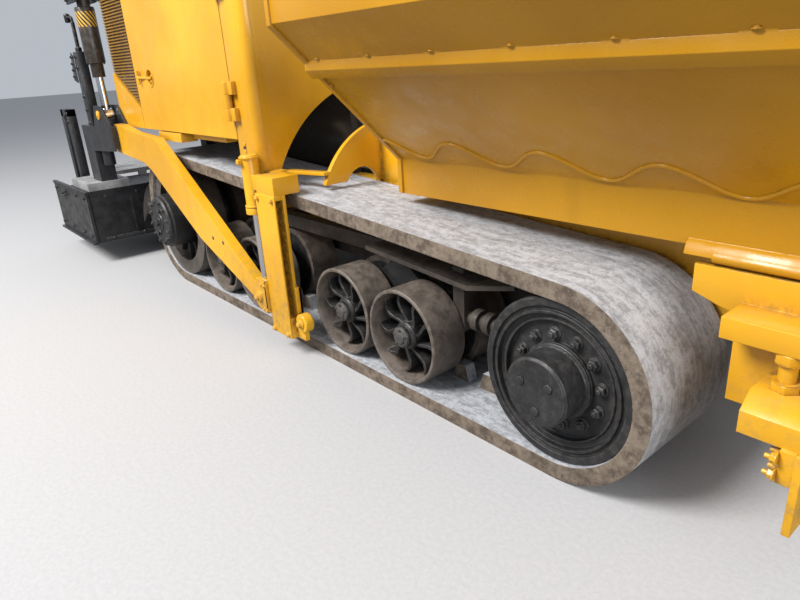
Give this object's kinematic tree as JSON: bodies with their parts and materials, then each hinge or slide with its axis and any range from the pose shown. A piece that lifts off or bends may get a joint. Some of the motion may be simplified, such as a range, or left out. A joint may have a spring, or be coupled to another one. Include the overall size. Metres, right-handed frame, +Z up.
{
  "type": "asphalt paver",
  "caption": "Self-propelled asphalt paver on rubber belts, with folding hopper wings, operator platform and a towed screed with sliding extensions.",
  "frame": {"origin": "on the ground, at the middle of the length and width", "axes": "+X towards the hopper and push rollers, +Y to the machine's left, +Z up"},
  "size_m": [6, 3.032, 3.65],
  "materials": {
    "yellow": "worn gloss",
    "black": "worn satin",
    "dark_steel": "grimy",
    "belt": "dusty",
    "wheel": "dusty",
    "worn_steel": "worn",
    "chrome_rod": "polished",
    "engine": "plain",
    "seat": "matte"
  },
  "bodies": {
    "tractor": {"main_frame": "yellow", "track_frames": "black", "belt_right": "belt", "belt_left": "belt", "front_wheels": "wheel", "drive_wheels": "wheel", "bogie_frames": "black", "bogie_wheels": "wheel", "final_drives": "black", "bulkhead": "yellow", "conveyors": "worn_steel", "belt_deflectors": "yellow", "engine": "engine", "body_shell": "yellow", "side_grilles": "yellow", "operator_deck": "black", "operator_stations": "seat", "canopy": "yellow", "tow_columns": "yellow", "lift_housings": "black", "auger_frame": "black"},
    "hopper_wing_right": {"hopper_wing_right": "yellow"},
    "hopper_wing_left": {"hopper_wing_left": "yellow"},
    "push_beam": {"push_beam": "yellow"},
    "push_roller_right": {"push_roller_right": "worn_steel"},
    "push_roller_left": {"push_roller_left": "worn_steel"},
    "side_door_right": {"side_door_right": "yellow"},
    "side_door_left": {"side_door_left": "yellow"},
    "hood": {"hood": "yellow"},
    "steering_wheel": {"steering_wheel": "seat"},
    "tow_slider_right": {"tow_slider_right": "yellow"},
    "tow_slider_left": {"tow_slider_left": "yellow"},
    "screed": {"tow_arms": "yellow", "screed_main": "black", "screed_walkway": "black"},
    "screed_extension_right": {"screed_extension_right": "black"},
    "screed_extension_left": {"screed_extension_left": "black"},
    "end_gate_right": {"end_gate_right": "black"},
    "end_gate_left": {"end_gate_left": "black"},
    "lift_barrel_right": {"lift_barrel_right": "black"},
    "lift_barrel_left": {"lift_barrel_left": "black"},
    "lift_rod_right": {"lift_rod_right": "chrome_rod"},
    "lift_rod_left": {"lift_rod_left": "chrome_rod"},
    "auger_right": {"auger_right": "dark_steel"},
    "auger_left": {"auger_left": "dark_steel"}
  },
  "joints": [
    {"name": "wing_fold_right", "type": "hinge", "parent": "tractor", "child": "hopper_wing_right", "pos_m": [0.85, -0.7, 0.822], "axis": [-1, 0, 0], "range_deg": [0, 50]},
    {"name": "wing_fold_left", "type": "hinge", "parent": "tractor", "child": "hopper_wing_left", "pos_m": [0.85, 0.7, 0.822], "axis": [1, 0, 0], "range_deg": [0, 50]},
    {"name": "push_beam_swing", "type": "hinge", "parent": "tractor", "child": "push_beam", "pos_m": [2.645, 0, 0.52], "axis": [0, 0, 1], "range_deg": [-5, 5]},
    {"name": "push_roller_spin_right", "type": "hinge", "parent": "push_beam", "child": "push_roller_right", "pos_m": [2.91, -0.86, 0.52], "axis": [0, 1, 0], "continuous": true},
    {"name": "push_roller_spin_left", "type": "hinge", "parent": "push_beam", "child": "push_roller_left", "pos_m": [2.91, 0.86, 0.52], "axis": [0, 1, 0], "continuous": true},
    {"name": "door_swing_right", "type": "hinge", "parent": "tractor", "child": "side_door_right", "pos_m": [-0.004, -1.28, 1.4], "axis": [0, 0, 1], "range_deg": [0, 100]},
    {"name": "door_swing_left", "type": "hinge", "parent": "tractor", "child": "side_door_left", "pos_m": [-0.004, 1.28, 1.4], "axis": [0, 0, -1], "range_deg": [0, 100]},
    {"name": "hood_lift", "type": "hinge", "parent": "tractor", "child": "hood", "pos_m": [0.191, 0, 1.984], "axis": [0, 1, 0], "range_deg": [0, 45]},
    {"name": "steering_turn", "type": "hinge", "parent": "tractor", "child": "steering_wheel", "pos_m": [-1.055, -0.76, 2.85], "axis": [-0.809, 0, 0.5878], "continuous": true},
    {"name": "tow_point_right", "type": "slide", "parent": "tractor", "child": "tow_slider_right", "axis": [0, 0, 1], "range_m": [0, 0.25]},
    {"name": "tow_point_left", "type": "slide", "parent": "tractor", "child": "tow_slider_left", "axis": [0, 0, 1], "range_m": [0, 0.25]},
    {"name": "screed_lift", "type": "hinge", "parent": "tow_slider_right", "child": "screed", "pos_m": [0.178, 0, 0.262], "axis": [0, -1, 0], "range_deg": [-3, 2.6]},
    {"name": "extension_slide_right", "type": "slide", "parent": "screed", "child": "screed_extension_right", "axis": [0, -1, 0], "range_m": [0, 1.1]},
    {"name": "extension_slide_left", "type": "slide", "parent": "screed", "child": "screed_extension_left", "axis": [0, 1, 0], "range_m": [0, 1.1]},
    {"name": "end_gate_slide_right", "type": "slide", "parent": "screed_extension_right", "child": "end_gate_right", "axis": [0, 0, 1], "range_m": [0, 0.1]},
    {"name": "end_gate_slide_left", "type": "slide", "parent": "screed_extension_left", "child": "end_gate_left", "axis": [0, 0, 1], "range_m": [0, 0.1]},
    {"name": "lift_barrel_swing_right", "type": "hinge", "parent": "tractor", "child": "lift_barrel_right", "pos_m": [-1.79, -1.323, 1.85], "axis": [0, 1, 0], "range_deg": [-4, 4]},
    {"name": "lift_barrel_swing_left", "type": "hinge", "parent": "tractor", "child": "lift_barrel_left", "pos_m": [-1.79, 1.323, 1.85], "axis": [0, 1, 0], "range_deg": [-4, 4]},
    {"name": "lift_rod_stroke_right", "type": "slide", "parent": "lift_barrel_right", "child": "lift_rod_right", "axis": [0, 0, 1], "range_m": [-0.1, 0.11]},
    {"name": "lift_rod_stroke_left", "type": "slide", "parent": "lift_barrel_left", "child": "lift_rod_left", "axis": [0, 0, 1], "range_m": [-0.1, 0.11]},
    {"name": "auger_turn_right", "type": "hinge", "parent": "tractor", "child": "auger_right", "pos_m": [-1.822, -0.6, 0.4], "axis": [0, 1, 0], "continuous": true},
    {"name": "auger_turn_left", "type": "hinge", "parent": "tractor", "child": "auger_left", "pos_m": [-1.822, 0.6, 0.4], "axis": [0, 1, 0], "continuous": true}
  ],
  "couplings": [
    {"joint": "tow_point_left", "follows": "tow_point_right", "ratio": 1},
    {"joint": "lift_barrel_swing_right", "follows": "screed_lift", "ratio": 1.0895},
    {"joint": "lift_barrel_swing_left", "follows": "screed_lift", "ratio": 1.0895},
    {"joint": "lift_rod_stroke_right", "follows": "screed_lift", "m_per_rad": -1.968},
    {"joint": "lift_rod_stroke_left", "follows": "screed_lift", "m_per_rad": -1.968}
  ]
}
